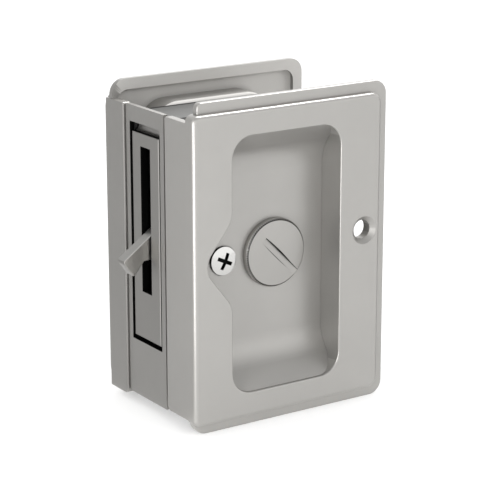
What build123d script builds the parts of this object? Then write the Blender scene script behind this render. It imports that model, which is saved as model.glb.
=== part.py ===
from build123d import *
import math
import os

# Pocket door lock, millimetres. The origin is the centre of the notch in the
# door's edge: +X runs into the door, +Y from the front plate to the back
# plate through the door, +Z up.

# Door and plates
DOOR = 34.925
DOOR_MAX = 44.45
PLATE_W = 58.0
PLATE_H = 82.55
RIM_W = 2.7
RIM_T = 1.7
RIM_R = 3.6
RIM_EDGE = 0.35
RIM_EDGE_INSET = 0.4
RIM_EDGE_R = 4.0
FRONT_RIM_TOP_INSET = 2.3
FRONT_RIM_TOP_R = 1.2
STEP = 1.9
PLATEAU_R = 2.8
FRONT_PLATEAU_EDGE_R = 1.7
BACK_PLATEAU_EDGE_R = 4.4
FACE_FILLET = 1.1
PLATE_WALL = 1.8
RECESS_LAND = 2.8
RECESS_FILLET = 1.2

# Finger cup
SPINDLE_X = 28.0
CUP_X = 26.95
CUP_W = 31.9
CUP_H = 64.6
CUP_DEPTH = 8.1
CUP_R = 5.6
CUP_SLOPE = 45.0
CUP_SWEEP_R = 10.0
CUP_WALL = 2.7
CUP_FLOOR_T = 1.5
CUP_BACK_FILLET = 1.6
CUP_LIP = 0.8
CUP_EDGE_FILLET = 0.45
LOBE_OUT = 7.0
LOBE_Z = 1.4
LOBE_R = 5.0
LOBE_FLANK = 52.0
LOBE_BLEND_R = 6.0

# Edge flanges
FLANGE_T = 2.0
FLANGE_TOP_R = 0.5
FLANGE_BOTTOM_R = 1.6
FRONT_FLANGE_BOTTOM = -37.6
BACK_FLANGE_BOTTOM = -39.4
FLANGE_EDGE = 0.3

# Fixing holes for wood screws
FIX_X = 50.3
FIX_Z = 3.9
FIX_R = 2.5
FIX_SINK_R = 3.6
FIX_BOSS_R = 5.2

# Edge plate and case
EDGE_RECESS = 0.6
EDGE_T = 1.2
EDGE_W = 17.8
EDGE_ABOVE = 4.1
EDGE_BELOW = 14.6
EDGE_FRONT_GAP = 1.3
EDGE_BACK_GAP = 0.4
WINDOW_W = 14.2
WINDOW_TOP = 32.5
WINDOW_BOTTOM = -23.6
CHEEK_T = 1.2
CHEEK_X1 = 41.5
CHEEK_ABOVE = 1.9
CHEEK_BELOW = 3.4
CHEEK_R = 3.0
BAND_T = 0.8
TURN_ROOM = 1.42

# Edge pull
PULL_GAP = 0.85
PULL_BOTTOM_GAP = 1.1
PULL_RECESS = 0.1
PULL_T = 2.0
PULL_TOP_GAP = 2.4
PULL_CHEEK_GAP = 0.35
PULL_EDGE = 0.3
PULL_SLOT_GAP = 0.7
PULL_SLOT_DROP = 3.2
PULL_SLOT_BOTTOM = -10.2
PIVOT_IN = 2.1
PIVOT_DROP = 0.9
PIVOT_R = 1.2
BARREL_R = 2.1
TONGUE_T = 1.6
TONGUE_RISE = 2.8
TONGUE_FILLET = 1.2

# Hook lever
HOOK_T = 3.2
HOOK_OUT = 7.0
HOOK_NOSE_Z = -0.6
HOOK_NOSE_R = 0.9
BEAK_OUT = 3.9
BEAK_Z = -4.9
BEAK_R = 0.5
BEAK_ROOT_OUT = 0.9
HOOK_UNDER_Z = -1.2
HOOK_TOP_SLOPE = 35.2
ARM_TOP_Z = 8.6
ARM_UNDER_Z = 3.4
ARM_UNDER_X = 10.8
HOOK_RING_R = 9.0
ARM_FILLET = 2.0
KNEE_R = 3.0
HOOK_EDGE = 0.25
HOOK_BACK_GAP = 0.3

# Hub, turns and spindle
HUB_R = 7.0
HUB_SQUARE = 8.6
HUB_FRONT_R = 5.0
HUB_BACK_R = 4.25
HUB_END_GAP = 0.2
BUSH_T = 1.5
COLLAR_GAP = 0.05
SPINDLE_SQUARE = 4.0
SPINDLE_GAP = 0.1
TANG_SQUARE = 6.0
TANG_GAP = 0.05
TANG_IN_HUB = 3.0
SPINDLE_TIP_GAP = 0.6
TURN_R = 8.75
TURN_RISE = 2.1
TURN_DOME = 0.55
TURN_EDGE = 0.5
TURN_FLOOR_GAP = 0.1
TURN_JOURNAL_R = 4.5
COIN_SLOT_W = 1.7
COIN_SLOT_DEPTH = 0.8
COIN_SLOT_EDGE = 0.2
COIN_SLOT_BACK = 5.3
COIN_SLOT_ANGLE = 45.0
GRIP_L = 14.0
GRIP_W = 4.2
GRIP_RISE = 5.2
GRIP_R = 1.8
SEAT_CAP = 0.8
WASHER_R = 7.4
WASHER_T = 0.3
CLIP_R = 6.4
CLIP_T = 0.7
CLIP_MOUTH = 5.0
CLIP_GROOVE = 0.7
CLIP_END_GAP = 0.05
CLIP_LIP = 0.5

# Screws, pillars and small parts
SCREW_FROM_SPINDLE = 14.8
SCREW_R = 2.0
SCREW_HOLE_GAP = 0.25
SCREW_THREAD_GAP = 0.05
SCREW_HEAD_R = 3.6
SCREW_HEAD_H = 1.7
SCREW_HEAD_DOME = 0.7
SCREW_SINK = 0.4
SCREW_SINK_GAP = 0.25
CROSS_W = 0.95
CROSS_L = 4.4
CROSS_DEPTH = 1.2
CROSS_ANGLE = 25.0
STANDOFF_R = 3.5
STANDOFF_SPIGOT_R = 2.75
BACK_STANDOFF_L = 4.2
SCREW_GRIP = 3.7
CASE_SCREW_X = 37.0
CASE_SCREW_Z = 16.0
CASE_SCREW_R = 1.5
CASE_SCREW_HEAD_R = 2.8
CASE_SCREW_HEAD_H = 1.6
CASE_SCREW_L = 6.0
CASE_BOSS_R = 3.2
PILLAR_R = 1.9
PILLAR_TENON_R = 1.3
PILLAR_EDGE_X = 4.0
PILLAR_EDGE_Z = 4.0
SPRING_PILLAR_IN = 6.6
SPRING_PILLAR_RISE = 2.0
SPRING_PILLAR_R = 1.5
SPRING_T = 0.35
SPRING_W = 7.0
SPRING_GAP = 0.08
SPRING_TAIL = 1.0
SPRING_BEND_R = 1.2
SPRING_CONTACT = -40.0
STOP_R = 1.3
STOP_GAP = 0.35
STOP_UNDER_X = 4.6
STOP_TOP_X = 15.5

# How far a cut runs past a face, and how near two corners count as one
OVER = 1.0
NEAR = 0.01

# Places worked out from the sizes above
TRAVEL = DOOR_MAX - DOOR
FACE_Y = DOOR / 2 + RIM_T + STEP
HALF_H = PLATE_H / 2
CUP_FLOOR_Y = FACE_Y - CUP_DEPTH
CUP_BACK_Y = CUP_FLOOR_Y - CUP_FLOOR_T
PULL_W = WINDOW_W - 2 * PULL_GAP
CASE_HALF = PULL_W / 2 + PULL_CHEEK_GAP
CASE_Y = CUP_BACK_Y - TURN_ROOM - CHEEK_T - CASE_HALF
FRONT_IN = CASE_Y - CASE_HALF
FRONT_OUT = FRONT_IN - CHEEK_T
BACK_IN = CASE_Y + CASE_HALF
BACK_OUT = BACK_IN + CHEEK_T
EDGE_X0 = EDGE_RECESS
EDGE_X1 = EDGE_X0 + EDGE_T
FRONT_FLANGE = CASE_Y - EDGE_W / 2 - EDGE_FRONT_GAP + FACE_Y
BACK_FLANGE = FACE_Y - CASE_Y - EDGE_W / 2 - EDGE_BACK_GAP
PULL_X0 = EDGE_X0 + PULL_RECESS
PULL_X1 = PULL_X0 + PULL_T
PULL_BOTTOM = WINDOW_BOTTOM + PULL_BOTTOM_GAP
PULL_TOP = WINDOW_TOP - PULL_TOP_GAP
PULL_SLOT_TOP = PULL_TOP - PULL_SLOT_DROP
PIVOT_X = PULL_X1 + PIVOT_IN
PIVOT_Z = PULL_TOP - PIVOT_DROP
TONGUE_TOP = PULL_TOP + TONGUE_RISE
SPRING_PILLAR_X = PIVOT_X + SPRING_PILLAR_IN
SPRING_PILLAR_Z = PIVOT_Z + SPRING_PILLAR_RISE
EDGE_TOP = WINDOW_TOP + EDGE_ABOVE
EDGE_BOTTOM = WINDOW_BOTTOM - EDGE_BELOW
CHEEK_TOP = TONGUE_TOP + CHEEK_ABOVE
CHEEK_BOTTOM = WINDOW_BOTTOM - CHEEK_BELOW
SCREW_X = SPINDLE_X - SCREW_FROM_SPINDLE
HOOK_Y0 = CASE_Y - HOOK_T / 2
HOOK_Y1 = CASE_Y + HOOK_T / 2
HUB_Y0 = FRONT_IN + HUB_END_GAP
HUB_Y1 = BACK_IN - HUB_END_GAP
THROW = math.degrees(math.acos((SPINDLE_X - PULL_X1 - HOOK_BACK_GAP) / (SPINDLE_X + HOOK_OUT)))


def slab(sketch, y0, y1):
    """Solid of a sketch drawn in X and Z, from y0 to y1."""
    return extrude(Plane.XZ.offset(-y1) * sketch, amount=y1 - y0)


def rod(x, z, radius, y0, y1):
    """Round bar along Y."""
    return slab(Pos(x, z) * Circle(radius), y0, y1)


def bar(side, y0, y1):
    """Square bar along the spindle's axis."""
    return slab(Pos(SPINDLE_X, 0) * Rectangle(side, side), y0, y1)


def turned(points, x, z, y, towards):
    """Solid turned from (radius, height) points about an axis along Y."""
    wire = Polyline(*points, close=True)
    shape = revolve(Plane.XZ * make_face(wire), Axis.Z)
    return Plane((x, y, z), x_dir=(1, 0, 0), z_dir=(0, towards, 0)) * shape


def dome(radius, top, drop):
    """Curve from the axis to the edge of a domed top, level at the axis."""
    return Spline((0, top), (radius, top + drop), tangents=[(1, 0), (radius, 2 * drop)])


def plate(left, right, bottom, top, radii, top_left=None):
    """Plate outline with a radius at each corner, anticlockwise from the lower left."""
    start = left if top_left is None else top_left
    corners = [(left, bottom), (right, bottom), (right, top), (start, top)]
    return make_face(FilletPolyline(*corners, radius=radii, close=True))


def cup_outline():
    """Cup opening in X and Z: rounded rectangle with the screw's lobe at its left."""
    half = CUP_H / 2
    left = CUP_X - CUP_W / 2
    right = CUP_X + CUP_W / 2
    lean = math.radians(LOBE_FLANK)
    point = left - LOBE_OUT + LOBE_R - LOBE_R / math.sin(lean)
    reach = (left - point) * math.tan(lean)
    corners = [(left, -half), (right, -half), (right, half), (left, half),
               (left, LOBE_Z + reach), (point, LOBE_Z), (left, LOBE_Z - reach)]
    radii = [CUP_R] * 4 + [LOBE_BLEND_R, LOBE_R, LOBE_BLEND_R]
    return make_face(FilletPolyline(*corners, radius=radii, close=True))


def cup_space():
    """The hollow of the front cup, its floor swept up at both ends."""
    turn = math.radians(CUP_SLOPE)
    floor = -FACE_Y + CUP_DEPTH
    outside = -FACE_Y - OVER
    bend_y = floor - CUP_SWEEP_R * (1 - math.cos(turn))
    slope = bend_y + FACE_Y - CUP_LIP
    half = CUP_H / 2
    bend = half - slope / math.tan(turn)
    start = bend - CUP_SWEEP_R * math.sin(turn)
    end = half + (CUP_LIP + OVER) / math.tan(turn)
    middle = start + CUP_SWEEP_R * math.sin(turn / 2)
    middle_y = floor - CUP_SWEEP_R * (1 - math.cos(turn / 2))
    upper = ThreePointArc((floor, start), (middle_y, middle), (bend_y, bend))
    lower = ThreePointArc((floor, -start), (middle_y, -middle), (bend_y, -bend))
    rim = [(bend_y, bend), (outside, end), (outside, -end), (bend_y, -bend)]
    side = make_face([upper, Polyline(*rim), lower, Line((floor, -start), (floor, start))])
    prism = extrude(Plane.YZ * side, amount=PLATE_W)
    return slab(cup_outline(), outside, floor) & prism


def cover(flange, flange_bottom, rim_top_inset, rim_top_r, edge_r):
    """Cast cover in the front place: rim, raised face, cup and edge flange."""
    face = -FACE_Y
    rim_y = face + STEP
    door_y = rim_y + RIM_T
    rim_radii = [RIM_EDGE_R, RIM_R, RIM_R, rim_top_r]
    rim = slab(plate(RIM_EDGE_INSET, PLATE_W, -HALF_H, HALF_H, rim_radii, rim_top_inset), rim_y, door_y)
    rim = fillet(rim.faces().sort_by(Axis.Y)[0].edges(), RIM_EDGE)
    raised_z = HALF_H - RIM_W
    raised_radii = [edge_r, PLATEAU_R, PLATEAU_R, edge_r]
    raised = slab(plate(0, PLATE_W - RIM_W, -raised_z, raised_z, raised_radii), face, door_y)
    raised = fillet(raised.faces().sort_by(Axis.Y)[0].edges(), FACE_FILLET)
    inside_z = HALF_H - RECESS_LAND
    inside = plate(FLANGE_T, PLATE_W - RECESS_LAND, -inside_z, inside_z, [PLATEAU_R] * 4)
    recess = slab(inside, face + PLATE_WALL, door_y + OVER)
    recess = fillet(recess.faces().sort_by(Axis.Y)[0].edges(), RECESS_FILLET)
    shell = rim + raised - recess
    root_y = face + FACE_FILLET
    end_y = face + flange
    edge = plate(root_y, end_y, flange_bottom, EDGE_TOP, [0, FLANGE_BOTTOM_R, FLANGE_TOP_R, 0])
    lip = extrude(Plane.YZ * edge, amount=FLANGE_T)
    outer = lip.faces().sort_by(Axis.X)[0].edges()
    lip = fillet([e for e in outer if e.center().Y > root_y + FLANGE_EDGE], FLANGE_EDGE)
    body = offset(cup_outline(), CUP_WALL)
    cup = slab(body, face + FACE_FILLET, face + CUP_DEPTH + CUP_FLOOR_T)
    cup = fillet(cup.faces().sort_by(Axis.Y)[-1].edges(), CUP_BACK_FILLET)
    boss = rod(FIX_X, FIX_Z, FIX_BOSS_R, face + PLATE_WALL, door_y)
    solid = shell + lip + cup + boss - cup_space()
    mouth = solid.faces().sort_by(Axis.Y)[0].inner_wires()[0]
    solid = fillet(mouth.edges(), CUP_EDGE_FILLET)
    sink = FIX_SINK_R - FIX_R
    hole = [(0, 0), (FIX_SINK_R, 0), (FIX_R, sink), (FIX_R, FACE_Y), (0, FACE_Y)]
    solid -= turned(hole, FIX_X, FIX_Z, face, 1)
    solid -= rod(SPINDLE_X, 0, TURN_JOURNAL_R + TANG_GAP, face, 0)
    solid -= rod(SCREW_X, 0, SCREW_HEAD_R + SCREW_SINK_GAP, face, -CUP_FLOOR_Y + SCREW_SINK)
    return solid - rod(SCREW_X, 0, SCREW_R + SCREW_HOLE_GAP, face, 0)


def front_cover():
    """Front cover with the two bosses that carry the case."""
    solid = cover(FRONT_FLANGE, FRONT_FLANGE_BOTTOM, FRONT_RIM_TOP_INSET, FRONT_RIM_TOP_R,
                  FRONT_PLATEAU_EDGE_R)
    for side in (1, -1):
        x, z = CASE_SCREW_X, side * CASE_SCREW_Z
        solid += rod(x, z, CASE_BOSS_R, -CUP_BACK_Y - CUP_FLOOR_T / 2, FRONT_OUT)
        tip = FRONT_IN - CASE_SCREW_L - SCREW_THREAD_GAP
        solid -= rod(x, z, CASE_SCREW_R + SCREW_THREAD_GAP, tip, FRONT_OUT)
    return solid


def back_cover():
    """Back cover: the front one's opposite hand, with a shorter flange."""
    solid = cover(BACK_FLANGE, BACK_FLANGE_BOTTOM, RIM_EDGE_INSET, RIM_EDGE_R, BACK_PLATEAU_EDGE_R)
    return mirror(solid, about=Plane.XZ)


def edge_plate():
    """Flat plate in the door's edge with the window for the edge pull."""
    middle = (EDGE_TOP + EDGE_BOTTOM) / 2
    sketch = Pos(CASE_Y, middle) * Rectangle(EDGE_W, EDGE_TOP - EDGE_BOTTOM)
    window_z = (WINDOW_TOP + WINDOW_BOTTOM) / 2
    sketch -= Pos(CASE_Y, window_z) * Rectangle(WINDOW_W, WINDOW_TOP - WINDOW_BOTTOM)
    return extrude(Plane.YZ.offset(EDGE_X0) * sketch, amount=EDGE_T)


def case_pillars():
    """Places of the pillars that tie the two cheeks together."""
    right = CHEEK_X1 - PILLAR_EDGE_X
    left = EDGE_X1 + PILLAR_EDGE_X + PILLAR_R
    low = CHEEK_BOTTOM + PILLAR_EDGE_Z
    return [(right, CHEEK_TOP - PILLAR_EDGE_Z), (right, low), (left, low)]


def stop_places():
    """Stop pins under the thrown lever and above the withdrawn one."""
    under = (STOP_UNDER_X, HOOK_UNDER_Z - STOP_R - STOP_GAP)
    dx = STOP_TOP_X - SPINDLE_X
    dz = ARM_TOP_Z + STOP_R + STOP_GAP
    turn = math.radians(THROW)
    over = (SPINDLE_X + dx * math.cos(turn) + dz * math.sin(turn), dz * math.cos(turn) - dx * math.sin(turn))
    return [under, over]


def cheek(y0, bush_r):
    """Side plate of the case, with the holes of everything that it carries."""
    sketch = plate(EDGE_X1, CHEEK_X1, CHEEK_BOTTOM, CHEEK_TOP, [0, CHEEK_R, CHEEK_R, 0])
    sketch -= Pos(SPINDLE_X, 0) * Circle(bush_r)
    sketch -= Pos(SCREW_X, 0) * Circle(STANDOFF_SPIGOT_R)
    sketch -= Pos(PIVOT_X, PIVOT_Z) * Circle(PIVOT_R)
    for x, z in case_pillars():
        sketch -= Pos(x, z) * Circle(PILLAR_TENON_R)
    sketch -= Pos(SPRING_PILLAR_X, SPRING_PILLAR_Z) * Circle(PILLAR_TENON_R)
    for x, z in stop_places():
        sketch -= Pos(x, z) * Circle(STOP_R)
    return slab(sketch, y0, y0 + CHEEK_T)


def case_band():
    """Strip bent round the case between the cheeks, open towards the edge plate."""
    inner_r = CHEEK_R - BAND_T
    outer = plate(EDGE_X1, CHEEK_X1, CHEEK_BOTTOM, CHEEK_TOP, [0, CHEEK_R, CHEEK_R, 0])
    inner = plate(0, CHEEK_X1 - BAND_T, CHEEK_BOTTOM + BAND_T, CHEEK_TOP - BAND_T, [0, inner_r, inner_r, 0])
    return slab(outer - inner, FRONT_IN, BACK_IN)


def front_cheek():
    """Front side plate, also pierced for the two case screws."""
    solid = cheek(FRONT_OUT, HUB_FRONT_R + COLLAR_GAP + BUSH_T)
    for side in (1, -1):
        radius = CASE_SCREW_R + SCREW_HOLE_GAP
        solid -= rod(CASE_SCREW_X, side * CASE_SCREW_Z, radius, FRONT_OUT, FRONT_IN)
    return solid


def back_cheek():
    """Back side plate."""
    return cheek(BACK_IN, HUB_BACK_R + COLLAR_GAP + BUSH_T)


def pillar(x, z, radius):
    """Shouldered pillar riveted into both cheeks."""
    return rod(x, z, radius, FRONT_IN, BACK_IN) + rod(x, z, PILLAR_TENON_R, FRONT_OUT, BACK_OUT)


def case_pillar_set():
    """The three plain pillars of the case."""
    return [pillar(x, z, PILLAR_R) for x, z in case_pillars()]


def hook_stop_pins():
    """The two pins that limit the hook lever."""
    return [rod(x, z, STOP_R, FRONT_OUT, BACK_OUT) for x, z in stop_places()]


def case_screws():
    """Two pan-head screws from inside the case into the front cover's bosses."""
    solids = []
    for side in (1, -1):
        x, z = CASE_SCREW_X, side * CASE_SCREW_Z
        screw = rod(x, z, CASE_SCREW_R, FRONT_IN - CASE_SCREW_L, FRONT_IN)
        head = rod(x, z, CASE_SCREW_HEAD_R, FRONT_IN, FRONT_IN + CASE_SCREW_HEAD_H)
        head = fillet(head.faces().sort_by(Axis.Y)[-1].edges(), CASE_SCREW_HEAD_H / 3)
        slot = Box(2 * CASE_SCREW_HEAD_R, CASE_SCREW_HEAD_H, CROSS_W)
        solids.append(screw + head - Pos(x, FRONT_IN + CASE_SCREW_HEAD_H, z) * slot)
    return solids


def front_standoff():
    """Threaded standoff between the front cover's lobe and the front cheek."""
    solid = rod(SCREW_X, 0, STANDOFF_R, -CUP_BACK_Y, FRONT_OUT)
    solid += rod(SCREW_X, 0, STANDOFF_SPIGOT_R, FRONT_OUT, FRONT_IN)
    return solid - rod(SCREW_X, 0, SCREW_R + SCREW_THREAD_GAP, -CUP_BACK_Y, FRONT_IN)


def back_standoff():
    """Threaded standoff inside the back cheek, which the back screw runs in."""
    solid = rod(SCREW_X, 0, STANDOFF_R, BACK_IN - BACK_STANDOFF_L, BACK_IN)
    solid += rod(SCREW_X, 0, STANDOFF_SPIGOT_R, BACK_IN, BACK_OUT)
    return solid - rod(SCREW_X, 0, SCREW_R + SCREW_THREAD_GAP, BACK_IN - BACK_STANDOFF_L, BACK_OUT)


def clamp_screw(length):
    """Cross-recessed pan-head screw in the front cup, its head sunk a little into the cup's floor."""
    seat = -CUP_FLOOR_Y + SCREW_SINK
    tip = -CUP_FLOOR_Y + length
    top = seat - SCREW_HEAD_H
    side = top + SCREW_HEAD_DOME
    crown = dome(SCREW_HEAD_R, top, SCREW_HEAD_DOME)
    rest = Polyline((SCREW_HEAD_R, side), (SCREW_HEAD_R, seat), (SCREW_R, seat), (SCREW_R, tip),
                    (0, tip), (0, top))
    profile = make_face([crown, rest])
    solid = Pos(SCREW_X, 0, 0) * revolve(profile, Axis.Y)
    for angle in (CROSS_ANGLE, CROSS_ANGLE + 90):
        arm = Box(CROSS_L, 2 * CROSS_DEPTH, CROSS_W)
        solid -= Pos(SCREW_X, top, 0) * Rot(0, angle, 0) * arm
    return solid


def front_clamp_screw():
    """Screw that holds the front cover to the case."""
    return clamp_screw(FRONT_IN + CUP_FLOOR_Y)


def back_clamp_screw():
    """Long screw of the back cover, which still grips at the thickest door."""
    length = CUP_FLOOR_Y + TRAVEL - BACK_OUT + SCREW_GRIP
    return Rot(180, 0, 0) * clamp_screw(length)


def edge_pull():
    """Pull in the window, hung at its top by a barrel behind the edge plate."""
    corner = (Align.MIN, Align.MIN)
    profile = Pos(PULL_X0, PULL_BOTTOM) * Rectangle(PULL_T, PULL_TOP - PULL_BOTTOM, align=corner)
    tongue_z0 = PIVOT_Z - BARREL_R / 2
    profile += Pos(PULL_X1, tongue_z0) * Rectangle(TONGUE_T, TONGUE_TOP - tongue_z0, align=corner)
    profile += Pos(PIVOT_X, PIVOT_Z) * Circle(BARREL_R)
    notch = [v for v in profile.vertices() if abs(v.X - PULL_X1) < NEAR and abs(v.Y - PULL_TOP) < NEAR]
    profile = fillet(notch, TONGUE_FILLET)
    profile -= Pos(PIVOT_X, PIVOT_Z) * Circle(PIVOT_R + COLLAR_GAP)
    solid = slab(profile, CASE_Y - PULL_W / 2, CASE_Y + PULL_W / 2)
    front = solid.faces().filter_by(Axis.X).sort_by(Axis.X)[0]
    solid = fillet(front.edges(), PULL_EDGE)
    slot_w = HOOK_T + 2 * PULL_SLOT_GAP
    slot_z = (PULL_SLOT_TOP + PULL_SLOT_BOTTOM) / 2
    return solid - Pos(PULL_X0, CASE_Y, slot_z) * Box(3 * PULL_T, slot_w, PULL_SLOT_TOP - PULL_SLOT_BOTTOM)


def edge_pull_pin():
    """Pin that the edge pull swings on, riveted into the cheeks."""
    return rod(PIVOT_X, PIVOT_Z, PIVOT_R, FRONT_OUT, BACK_OUT)


def drag_spring():
    """Leaf curled round its pillar, lying along the barrel of the edge pull."""
    angle = math.radians(SPRING_CONTACT)
    reach = BARREL_R + SPRING_GAP + SPRING_T / 2
    touch = Vector(PIVOT_X + reach * math.cos(angle), PIVOT_Z + reach * math.sin(angle))
    along = Vector(-math.sin(angle), math.cos(angle))
    normal = Vector(math.cos(angle), math.sin(angle))
    centre = Vector(SPRING_PILLAR_X, SPRING_PILLAR_Z)
    ring = SPRING_PILLAR_R + SPRING_T / 2
    run = centre - touch
    bend_l = run.dot(along)
    corner = touch + along * (bend_l / 2)
    to_ring = centre - corner
    span = math.sqrt(to_ring.length ** 2 - ring ** 2)
    lean = math.atan2(ring, span)
    heading = math.atan2(to_ring.Y, to_ring.X) - lean
    meet = corner + Vector(math.cos(heading), math.sin(heading)) * span
    tail = touch - along * SPRING_TAIL
    strip = FilletPolyline(tail, corner, meet, radius=SPRING_BEND_R)
    leaf = trace(strip, SPRING_T)
    hole = Pos(SPRING_PILLAR_X, SPRING_PILLAR_Z) * Circle(SPRING_PILLAR_R)
    curl = Pos(SPRING_PILLAR_X, SPRING_PILLAR_Z) * Circle(SPRING_PILLAR_R + SPRING_T)
    sketch = leaf + curl - hole
    return slab(sketch, CASE_Y - SPRING_W / 2, CASE_Y + SPRING_W / 2)


def spring_pillar():
    """Pillar that carries the drag spring."""
    return pillar(SPRING_PILLAR_X, SPRING_PILLAR_Z, SPRING_PILLAR_R)


def hook_lever():
    """Hook bolt: a flat lever whose nose and beak stand out of the edge when thrown."""
    knee = -HOOK_OUT + (ARM_TOP_Z - HOOK_NOSE_Z) / math.tan(math.radians(HOOK_TOP_SLOPE))
    points = [(-HOOK_OUT, HOOK_NOSE_Z), (-BEAK_OUT, BEAK_Z), (-BEAK_ROOT_OUT, HOOK_UNDER_Z),
              (PULL_X1, HOOK_UNDER_Z), (ARM_UNDER_X, ARM_UNDER_Z), (SPINDLE_X, ARM_UNDER_Z),
              (SPINDLE_X, ARM_TOP_Z), (knee, ARM_TOP_Z)]
    radii = [HOOK_NOSE_R, BEAK_R, BEAK_R, ARM_FILLET, ARM_FILLET, 0, 0, KNEE_R]
    sketch = make_face(FilletPolyline(*points, radius=radii, close=True))
    sketch += Pos(SPINDLE_X, 0) * Circle(HOOK_RING_R)
    solid = slab(sketch, HOOK_Y0, HOOK_Y1)
    outer = solid.faces().sort_by(Axis.Y)
    solid = fillet(outer[0].edges() + outer[-1].edges(), HOOK_EDGE)
    return solid - bar(HUB_SQUARE, HOOK_Y0, HOOK_Y1)


def hook_hub():
    """Hub of the lever: shoulder, square seat, journals and the two square bores."""
    solid = rod(SPINDLE_X, 0, HUB_R, HUB_Y0, HOOK_Y0) + bar(HUB_SQUARE, HOOK_Y0, HOOK_Y1)
    solid += rod(SPINDLE_X, 0, HUB_FRONT_R, FRONT_OUT, HUB_Y0)
    solid += rod(SPINDLE_X, 0, HUB_BACK_R, HOOK_Y1, BACK_OUT)
    solid -= bar(SPINDLE_SQUARE + 2 * SPINDLE_GAP, FRONT_OUT, BACK_OUT)
    return solid - bar(TANG_SQUARE + 2 * TANG_GAP, FRONT_OUT, FRONT_OUT + TANG_IN_HUB + SPINDLE_GAP)


def ring(inner, outer, y0, y1):
    """Plain ring on the spindle's axis."""
    return slab(Pos(SPINDLE_X, 0) * (Circle(outer) - Circle(inner)), y0, y1)


def hub_collar():
    """Spacer ring that keeps the lever on its seat."""
    return ring(HUB_BACK_R, HUB_R, HOOK_Y1, HUB_Y1)


def front_hub_bush():
    """Bush of the hub in the front cheek."""
    inner = HUB_FRONT_R + COLLAR_GAP
    return ring(inner, inner + BUSH_T, FRONT_OUT, FRONT_IN)


def back_hub_bush():
    """Bush of the hub in the back cheek."""
    inner = HUB_BACK_R + COLLAR_GAP
    return ring(inner, inner + BUSH_T, BACK_IN, BACK_OUT)


def turn_body(journal_end):
    """Domed turn in the front cup with its journal and clip groove."""
    base = -CUP_FLOOR_Y - TURN_FLOOR_GAP
    top = base - TURN_RISE
    shoulder = top + TURN_DOME
    bevel = shoulder + TURN_EDGE
    crown = dome(TURN_R - TURN_EDGE, top, TURN_DOME)
    groove = -CUP_BACK_Y + WASHER_T + CLIP_END_GAP
    inner = TURN_JOURNAL_R - CLIP_GROOVE
    rest = Polyline((TURN_R - TURN_EDGE, shoulder), (TURN_R, bevel), (TURN_R, base), (TURN_JOURNAL_R, base),
                    (TURN_JOURNAL_R, groove), (inner, groove), (inner, groove + CLIP_T + CLIP_END_GAP),
                    (TURN_JOURNAL_R, groove + CLIP_T + CLIP_END_GAP), (TURN_JOURNAL_R, journal_end),
                    (0, journal_end), (0, top))
    return Pos(SPINDLE_X, 0, 0) * revolve(make_face([crown, rest]), Axis.Y)


def coin_turn():
    """Emergency turn: slotted disk whose square tang drives the hub."""
    journal_end = -CUP_BACK_Y + WASHER_T + CLIP_T + 2 * CLIP_END_GAP + CLIP_LIP
    solid = turn_body(journal_end) + bar(TANG_SQUARE, journal_end, FRONT_OUT + TANG_IN_HUB)
    hole_end = spindle_tip() - SPINDLE_TIP_GAP
    solid -= bar(SPINDLE_SQUARE + 2 * SPINDLE_GAP, hole_end, FRONT_OUT + TANG_IN_HUB)
    top = -CUP_FLOOR_Y - TURN_FLOOR_GAP - TURN_RISE
    length = COIN_SLOT_BACK + TURN_R
    half = COIN_SLOT_W / 2
    wide = half + COIN_SLOT_EDGE + OVER
    across = [(COIN_SLOT_DEPTH, -half), (COIN_SLOT_DEPTH, half), (COIN_SLOT_EDGE, half),
              (-OVER, wide), (-OVER, -wide), (COIN_SLOT_EDGE, -half)]
    slot = extrude(Plane.YZ.offset(-COIN_SLOT_BACK) * make_face(Polyline(*across, close=True)), amount=length)
    return solid - Pos(SPINDLE_X, top, 0) * Rot(0, COIN_SLOT_ANGLE, 0) * slot


def spindle_tip():
    """Front end of the spindle at the thinnest door."""
    return -CUP_BACK_Y + WASHER_T + CLIP_T + CLIP_LIP


def turn_end():
    """Inner end of a turn's journal when it stops just outside the back cheek."""
    return -BACK_OUT - HUB_END_GAP


def thumb_turn():
    """Inside turn: the same disk with a finger grip, and a square seat for the spindle."""
    solid = turn_body(turn_end())
    base = -CUP_FLOOR_Y - TURN_FLOOR_GAP
    top = base - TURN_RISE
    grip = Box(GRIP_L, GRIP_RISE + TURN_RISE / 2, GRIP_W, align=(Align.CENTER, Align.MAX, Align.CENTER))
    grip = fillet(grip.edges().filter_by(Axis.Y), GRIP_R)
    grip = fillet(grip.faces().sort_by(Axis.Y)[0].edges(), GRIP_R / 2)
    solid += Pos(SPINDLE_X, top + TURN_RISE / 2, 0) * Rot(0, -COIN_SLOT_ANGLE, 0) * grip
    solid -= bar(SPINDLE_SQUARE, top + SEAT_CAP, turn_end())
    return Rot(180, 0, 0) * solid


def thumb_spindle():
    """Square spindle fixed in the thumb turn, sliding in the hub."""
    end = CUP_FLOOR_Y + TURN_FLOOR_GAP + TURN_RISE - SEAT_CAP
    return bar(SPINDLE_SQUARE, spindle_tip(), end)


def turn_washer():
    """Spring washer between a cup's back and the clip, shown pressed flat."""
    return ring(TURN_JOURNAL_R + TANG_GAP, WASHER_R, -CUP_BACK_Y, -CUP_BACK_Y + WASHER_T)


def turn_clip():
    """Open retaining clip in the groove of a turn."""
    y0 = -CUP_BACK_Y + WASHER_T + CLIP_END_GAP
    solid = ring(TURN_JOURNAL_R - CLIP_GROOVE, CLIP_R, y0, y0 + CLIP_T)
    mouth = Box(CLIP_MOUTH, 4 * CLIP_T, CLIP_R, align=(Align.CENTER, Align.CENTER, Align.MAX))
    return solid - Pos(SPINDLE_X, y0, 0) * mouth


def on_back(solid):
    """The same piece at the back of the lock."""
    return Rot(180, 0, 0) * solid


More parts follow.
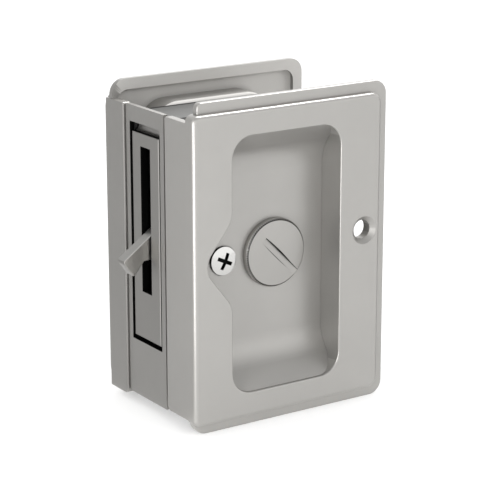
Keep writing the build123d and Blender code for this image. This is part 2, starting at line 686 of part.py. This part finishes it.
PIECES = {
    "front_cover": front_cover(),
    "back_cover": back_cover(),
    "edge_plate": edge_plate(),
    "front_cheek": front_cheek(),
    "back_cheek": back_cheek(),
    "case_band": case_band(),
    "case_pillars": case_pillar_set(),
    "hook_stop_pins": hook_stop_pins(),
    "case_screws": case_screws(),
    "front_standoff": front_standoff(),
    "back_standoff": back_standoff(),
    "front_clamp_screw": front_clamp_screw(),
    "back_clamp_screw": back_clamp_screw(),
    "edge_pull": edge_pull(),
    "edge_pull_pin": edge_pull_pin(),
    "edge_pull_drag_spring": drag_spring(),
    "spring_pillar": spring_pillar(),
    "hook_lever": hook_lever(),
    "hook_hub": hook_hub(),
    "hub_collar": hub_collar(),
    "front_hub_bush": front_hub_bush(),
    "back_hub_bush": back_hub_bush(),
    "coin_turn": coin_turn(),
    "coin_turn_washer": turn_washer(),
    "coin_turn_clip": turn_clip(),
    "thumb_turn": thumb_turn(),
    "thumb_spindle": thumb_spindle(),
    "thumb_turn_washer": on_back(turn_washer()),
    "thumb_turn_clip": on_back(turn_clip()),
}

os.makedirs("parts", exist_ok=True)
for name, shape in PIECES.items():
    solids = shape if isinstance(shape, list) else shape.solids()
    export_step(Compound(children=list(solids)) if len(solids) > 1 else solids[0], f"parts/{name}.step")
print("hook throw", round(THROW, 2), "degrees; pivot", PIVOT_X, PIVOT_Z, "case centre", round(CASE_Y, 3))
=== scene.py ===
import math

import bpy
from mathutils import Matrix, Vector


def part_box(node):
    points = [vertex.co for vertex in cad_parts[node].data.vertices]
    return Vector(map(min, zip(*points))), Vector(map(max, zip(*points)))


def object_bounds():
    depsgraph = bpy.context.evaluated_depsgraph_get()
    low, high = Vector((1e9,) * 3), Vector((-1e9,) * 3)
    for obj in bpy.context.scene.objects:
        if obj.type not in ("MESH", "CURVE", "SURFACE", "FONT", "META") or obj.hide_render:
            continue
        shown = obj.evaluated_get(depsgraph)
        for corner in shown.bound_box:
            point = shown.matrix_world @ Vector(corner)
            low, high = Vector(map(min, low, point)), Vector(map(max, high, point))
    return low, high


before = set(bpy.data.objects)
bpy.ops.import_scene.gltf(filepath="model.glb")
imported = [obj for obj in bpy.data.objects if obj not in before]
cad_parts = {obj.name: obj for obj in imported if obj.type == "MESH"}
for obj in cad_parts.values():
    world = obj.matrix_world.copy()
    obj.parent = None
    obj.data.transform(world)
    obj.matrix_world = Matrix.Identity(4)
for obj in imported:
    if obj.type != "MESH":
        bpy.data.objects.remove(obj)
cad_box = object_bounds()

# The frame is in metres; sizes below that end in MM, and places and reaches on the part, are in millimetres
MM = 0.001

# Camera: direction from the object, distance and focal length that repeat the view
CAMERA_AZIMUTH = -33.71
CAMERA_ELEVATION = 15.85
CAMERA_DISTANCE = 489.8 * MM
CAMERA_TARGET = Vector((29.92 * MM, 0, -3.02 * MM))
SENSOR_MM = 36.0
FOCAL_FRAMES = 1921 / 500

# Colours, linear
NICKEL = (0.385, 0.376, 0.360)
CAST_INSIDE = (0.56, 0.548, 0.526)
WALL_SHADE_NICKEL = (0.30, 0.293, 0.280)
PULL_NICKEL = (0.45, 0.440, 0.422)
HOOK_STEEL = (0.42, 0.41, 0.39)
HOOK_TOP_PAINTED_LIGHT = (0.58, 0.57, 0.55)
ZINC = (0.30, 0.30, 0.295)
BLACKED = (0.07, 0.07, 0.072)
GROUND = (0.22, 0.22, 0.22)
BRIGHT = (0.60, 0.595, 0.58)
BRASS = (0.40, 0.27, 0.11)
RECESS_SHADE_BLACK = (0.012, 0.012, 0.012)
FLOOR_WHITE = (0.92, 0.92, 0.92)

# Reach of the painted shade in inner corners, and how dark it gets
CREASE_MM = 0.8
CREASE_TONE = 0.85

# Light: radiance of the surround at the horizon and overhead and of the cards and strip, strength of the suns
HORIZON = 1.45
OVERHEAD = 0.70
FLOOR_SUN = 1.3
CARD_GREY = 0.46
CARD_DARK = 0.04
CARD_LIFT_MM = 0.3
TOP_SUN = 3.0
STRIP = 11.0

# Share of a normal along an axis: above FACING the face looks that way, below EDGEWISE it stands on edge
FACING = 0.9
EDGEWISE = 0.3

# Places where one finish, painted shade or painted light ends and another begins
FLANGE_BACK_X = 2.1
LAND_Y = 19.3
CUP_MIDDLE_X = 30
PULL_BACK_X = 2.75
HOOK_OUTER_X = 12
DISK_FRONT_Y = -14

# Reach of the clamp screws' cross recess, and the depths under the head's top where it lies; these and the
# margins below bound the painted shade on the screws, their bores and the coin slot
CROSS_R = 2.4
CROSS_FLOOR_DEPTH = (0.9, 1.4)
HEAD_SIDE_DEPTH = 1.3
BORE_ROUND_HEAD = 0.5
DISK_RIM = 0.3

# Pieces of the case, which stand in the shade of the covers
CASE_NODES = ("front_cheek", "back_cheek", "case_band")


def node(tree, kind, **inputs):
    """New shader node with the given input values."""
    made = tree.nodes.new(kind)
    for name, value in inputs.items():
        made.inputs[name.replace("_", " ")].default_value = value
    return made


def multiply(tree):
    """New node that multiplies two colours."""
    made = tree.nodes.new("ShaderNodeMix")
    made.data_type = "RGBA"
    made.blend_type = "MULTIPLY"
    made.inputs["Factor"].default_value = 1.0
    return made


def metal(name, colour, roughness, grain_mm=(0.25, 0.25, 2.5), grain=0.05, mottle=0.04, bump=0.06,
          metallic=1.0, crease_mm=CREASE_MM, crease_tone=CREASE_TONE):
    """Plated metal: directional grain in roughness and bump, clouding in colour, painted shade in inner
    corners.
    """
    material = bpy.data.materials.new(name)
    material.use_nodes = True
    tree = material.node_tree
    link = tree.links.new
    shader = tree.nodes["Principled BSDF"]
    shader.inputs["Metallic"].default_value = metallic
    place = tree.nodes.new("ShaderNodeTexCoord")
    stretch = node(tree, "ShaderNodeMapping", Scale=[1 / (s * MM) for s in grain_mm])
    link(place.outputs["Object"], stretch.inputs["Vector"])
    lines = node(tree, "ShaderNodeTexNoise", Scale=1.0, Detail=3.0, Roughness=0.55)
    link(stretch.outputs["Vector"], lines.inputs["Vector"])
    clouds = node(tree, "ShaderNodeTexNoise", Scale=90.0, Detail=4.0, Roughness=0.6)
    link(place.outputs["Object"], clouds.inputs["Vector"])
    shade = node(tree, "ShaderNodeMapRange", To_Min=1 - mottle, To_Max=1 + mottle)
    link(clouds.outputs["Fac"], shade.inputs["Value"])
    tint = multiply(tree)
    tint.inputs["A"].default_value = (*colour, 1)
    link(shade.outputs["Result"], tint.inputs["B"])
    # Painted shade: the colour darkens where ambient occlusion finds an inner corner
    near = node(tree, "ShaderNodeAmbientOcclusion", Distance=crease_mm * MM)
    near.samples = 8
    crease = node(tree, "ShaderNodeMapRange", From_Min=0.4, From_Max=0.85, To_Min=crease_tone, To_Max=1.0)
    link(near.outputs["AO"], crease.inputs["Value"])
    painted_crease_shade = multiply(tree)
    link(tint.outputs["Result"], painted_crease_shade.inputs["A"])
    link(crease.outputs["Result"], painted_crease_shade.inputs["B"])
    link(painted_crease_shade.outputs["Result"], shader.inputs["Base Color"])
    rough = node(tree, "ShaderNodeMapRange", To_Min=roughness - grain, To_Max=roughness + grain)
    link(lines.outputs["Fac"], rough.inputs["Value"])
    link(rough.outputs["Result"], shader.inputs["Roughness"])
    relief = node(tree, "ShaderNodeBump", Strength=bump, Distance=0.02 * MM)
    link(lines.outputs["Fac"], relief.inputs["Height"])
    link(relief.outputs["Normal"], shader.inputs["Normal"])
    return material


def dress(material, *nodes):
    """Give CAD nodes a material."""
    for name in nodes:
        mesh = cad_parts[name].data
        mesh.materials.clear()
        mesh.materials.append(material)


def dress_faces(material, name, chosen):
    """Give a second material to the faces of a CAD node that a test picks by middle and normal."""
    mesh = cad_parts[name].data
    mesh.materials.append(material)
    index = len(mesh.materials) - 1
    for face in mesh.polygons:
        if chosen(face.center / MM, face.normal):
            face.material_index = index


def middle_of(name):
    """Middle of a CAD node's box and half its width, in millimetres."""
    low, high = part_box(name)
    return (low + high) / 2 / MM, (high.x - low.x) / 2 / MM


satin = metal("satin_nickel", NICKEL, 0.36, metallic=0.7)
# The cast inside gets a wider, darker painted shade in its corners and under its steps
inside = metal("cast_inside", CAST_INSIDE, 0.75, grain_mm=(0.35, 0.35, 0.35), bump=0.16, metallic=0.1,
               crease_mm=2.5, crease_tone=0.6)
zinc = metal("zinc_plate", ZINC, 0.45, metallic=0.6)
recess = metal("painted_recess_shade", RECESS_SHADE_BLACK, 0.6)
dress(satin, "front_cover", "back_cover", "edge_plate")
dress(metal("turned_nickel", NICKEL, 0.33), "coin_turn", "thumb_turn")
dress(metal("pull_nickel", PULL_NICKEL, 0.38), "edge_pull")
dress(metal("hook_steel", HOOK_STEEL, 0.36), "hook_lever")
dress(metal("bright_plate", BRIGHT, 0.18), "front_clamp_screw", "back_clamp_screw")
dress(metal("blacked_steel", BLACKED, 0.5), *CASE_NODES, "case_pillars", "spring_pillar", "case_screws",
      "front_standoff", "back_standoff", "edge_pull_drag_spring", "coin_turn_washer", "coin_turn_clip",
      "thumb_turn_washer", "thumb_turn_clip")
dress(metal("ground_steel", GROUND, 0.3), "hook_stop_pins", "edge_pull_pin", "thumb_spindle", "hook_hub")
dress(metal("bush_brass", BRASS, 0.35), "front_hub_bush", "back_hub_bush", "hub_collar")

# The covers' inner sides are left as cast
dress_faces(inside, "front_cover", lambda at, to: at.x > FLANGE_BACK_X and at.y > -LAND_Y and to.y > 0.2)
dress_faces(inside, "back_cover", lambda at, to: at.x > FLANGE_BACK_X and at.y < LAND_Y and to.y < -0.2)

# The far wall of each cup has a darker tone, as in the photograph
# The darker tone is painted shade: a darker copy of the satin nickel on those walls
shaded = metal("painted_shade_wall_nickel", WALL_SHADE_NICKEL, 0.36, metallic=0.7)
for cover in ("front_cover", "back_cover"):
    dress_faces(shaded, cover, lambda at, to: at.x > CUP_MIDDLE_X and to.x < -FACING)

# The case is plated outside
dress_faces(zinc, "front_cheek", lambda at, to: to.y < -FACING)
dress_faces(zinc, "back_cheek", lambda at, to: to.y > FACING)
band_middle, _ = middle_of("case_band")
dress_faces(zinc, "case_band", lambda at, to: (at - band_middle).dot(to) > 0 and abs(to.y) < 0.5)

# Painted shade: the walls of the window round the pull, the sides of the pull and its back are coloured
# near-black
window_middle, _ = middle_of("edge_plate")
dress_faces(recess, "edge_plate", lambda at, to: abs(to.x) < EDGEWISE and (at - window_middle).dot(to) < 0)
dress_faces(recess, "edge_pull", lambda at, to: abs(to.x) < EDGEWISE or at.x > PULL_BACK_X)

# The top of the hook is painted lighter than its sides: a painted highlight from the light above
hook_top_painted_light = metal("hook_top_painted_light", HOOK_TOP_PAINTED_LIGHT, 0.36)
dress_faces(hook_top_painted_light, "hook_lever", lambda at, to: at.x < HOOK_OUTER_X and to.z > 0.4)

# Painted shade: the clamp screws' cross recesses and head sides, the bores round their heads and the side
# walls and chamfers of the coin slot are coloured near-black
for screw, cover, side in (("front_clamp_screw", "front_cover", 1), ("back_clamp_screw", "back_cover", -1)):
    middle, head_r = middle_of(screw)
    low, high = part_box(screw)
    top = min(side * low.y, side * high.y) / MM

    def in_cross(at, to, middle=middle, top=top, side=side):
        depth = side * at.y - top
        off = math.hypot(at.x - middle.x, at.z - middle.z)
        near_floor = CROSS_FLOOR_DEPTH[0] < depth < CROSS_FLOOR_DEPTH[1]
        cross_floor = off < CROSS_R and side * to.y < -FACING and near_floor
        return cross_floor or abs(to.y) < EDGEWISE and depth < HEAD_SIDE_DEPTH

    def in_bore(at, to, middle=middle, reach=head_r + BORE_ROUND_HEAD):
        return abs(to.y) < EDGEWISE and math.hypot(at.x - middle.x, at.z - middle.z) < reach

    dress_faces(recess, screw, in_cross)
    dress_faces(recess, cover, in_bore)

disk_middle, disk_r = middle_of("coin_turn")


def in_slot(at, to):
    """True on the side walls and chamfers of the coin slot."""
    off = math.hypot(at.x - disk_middle.x, at.z - disk_middle.z)
    return at.y < DISK_FRONT_Y and abs(to.y) < 0.8 and off < disk_r - DISK_RIM


dress_faces(recess, "coin_turn", in_slot)


def floor_and_world():
    """Pale floor under the part and a white surround that is softer overhead."""
    bpy.ops.mesh.primitive_plane_add(size=6.0, location=(0, 0, cad_box[0].z))
    floor = bpy.context.object
    floor.name = "floor"
    material = bpy.data.materials.new("floor_white")
    material.use_nodes = True
    shader = material.node_tree.nodes["Principled BSDF"]
    shader.inputs["Base Color"].default_value = (*FLOOR_WHITE, 1)
    shader.inputs["Roughness"].default_value = 0.9
    shader.inputs["Specular IOR Level"].default_value = 0.0
    floor.data.materials.append(material)
    world = bpy.data.worlds.new("studio")
    bpy.context.scene.world = world
    world.use_nodes = True
    tree = world.node_tree
    background = tree.nodes["Background"]
    background.inputs["Color"].default_value = (1, 1, 1, 1)
    place = tree.nodes.new("ShaderNodeTexCoord")
    parts = tree.nodes.new("ShaderNodeSeparateXYZ")
    tree.links.new(place.outputs["Generated"], parts.inputs["Vector"])
    fall = node(tree, "ShaderNodeMapRange", From_Min=0.35, From_Max=0.75, To_Min=HORIZON, To_Max=OVERHEAD)
    tree.links.new(parts.outputs["Z"], fall.inputs["Value"])
    tree.links.new(fall.outputs["Result"], background.inputs["Strength"])
    return floor


def only_on(lamp, *objects):
    """Let a lamp light the given objects alone."""
    group = bpy.data.collections.new(lamp.name + "_lit")
    for each in objects:
        group.objects.link(each)
    lamp.light_linking.receiver_collection = group


def lamp_object(name, data, place_mm):
    """Lamp in the scene, turned towards the part."""
    lamp = bpy.data.objects.new(name, data)
    bpy.context.scene.collection.objects.link(lamp)
    lamp.location = Vector(place_mm) * MM
    lamp.rotation_euler = (CAMERA_TARGET - lamp.location).to_track_quat("-Z", "Y").to_euler()
    lamp.visible_camera = False
    return lamp


def panel(name, place_mm, size_mm, radiance, *objects):
    """Soft panel of even brightness that lights the given objects alone."""
    data = bpy.data.lights.new(name, "AREA")
    data.shape = "RECTANGLE"
    data.size, data.size_y = [s * MM for s in size_mm]
    data.energy = radiance * math.pi * data.size * data.size_y
    only_on(lamp_object(name, data, place_mm), *objects)


def sun(name, place_mm, spread, strength):
    """Wide, even lamp from far away."""
    data = bpy.data.lights.new(name, "SUN")
    data.angle = math.radians(spread)
    data.energy = strength
    return lamp_object(name, data, place_mm)


def card(name, place_mm, size_mm, radiance, lying=False):
    """Studio card that shows only in reflections, standing to face the part or lying on the floor."""
    bpy.ops.mesh.primitive_plane_add(size=1.0)
    made = bpy.context.object
    made.name = name
    made.scale = (size_mm[0] * MM, size_mm[1] * MM, 1)
    made.location = Vector(place_mm) * MM
    if lying:
        made.location.z = cad_box[0].z + CARD_LIFT_MM * MM
    else:
        inward = Vector((0, 0, made.location.z)) - made.location
        made.rotation_euler = inward.to_track_quat("Z", "Y").to_euler()
    material = bpy.data.materials.new(name)
    material.use_nodes = True
    shader = material.node_tree.nodes["Principled BSDF"]
    shader.inputs["Base Color"].default_value = (0, 0, 0, 1)
    shader.inputs["Emission Color"].default_value = (1, 1, 1, 1)
    shader.inputs["Emission Strength"].default_value = radiance
    made.data.materials.append(material)
    made.visible_camera = False
    made.visible_diffuse = False
    made.visible_shadow = False


def camera():
    """Camera at the photograph's angle."""
    turn = math.radians(CAMERA_AZIMUTH)
    rise = math.radians(CAMERA_ELEVATION)
    back = Vector((math.sin(turn) * math.cos(rise), -math.cos(turn) * math.cos(rise), math.sin(rise)))
    data = bpy.data.cameras.new("camera")
    data.sensor_width = SENSOR_MM
    data.lens = SENSOR_MM * FOCAL_FRAMES
    data.clip_start = 0.01
    data.clip_end = 20
    made = bpy.data.objects.new("camera", data)
    bpy.context.scene.collection.objects.link(made)
    made.location = CAMERA_TARGET + back * CAMERA_DISTANCE
    made.rotation_euler = back.to_track_quat("Z", "Y").to_euler()
    bpy.context.scene.camera = made


floor = floor_and_world()
floor_sun = sun("floor_lamp", (0, 0, 800), 20, FLOOR_SUN)
floor_sun.data.use_shadow = False
only_on(floor_sun, floor)
top_lamp = sun("top_lamp", (530, 300, 790), 30, TOP_SUN)
only_on(top_lamp, *[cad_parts[n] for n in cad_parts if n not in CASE_NODES])
panel("left_strip", (-104, -69, -5), (40, 110), STRIP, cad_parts["front_cover"])
card("grey_card", (-50, 78, 30), (190, 150), CARD_GREY)
card("low_grey_card", (-82, 70, 0), (160, 160), CARD_GREY, lying=True)
card("low_dark_card", (112, 40, 0), (100, 120), CARD_DARK, lying=True)
card("dark_card", (110, 45, 0), (150, 90), CARD_DARK)
camera()
bpy.context.scene.view_settings.view_transform = "Standard"
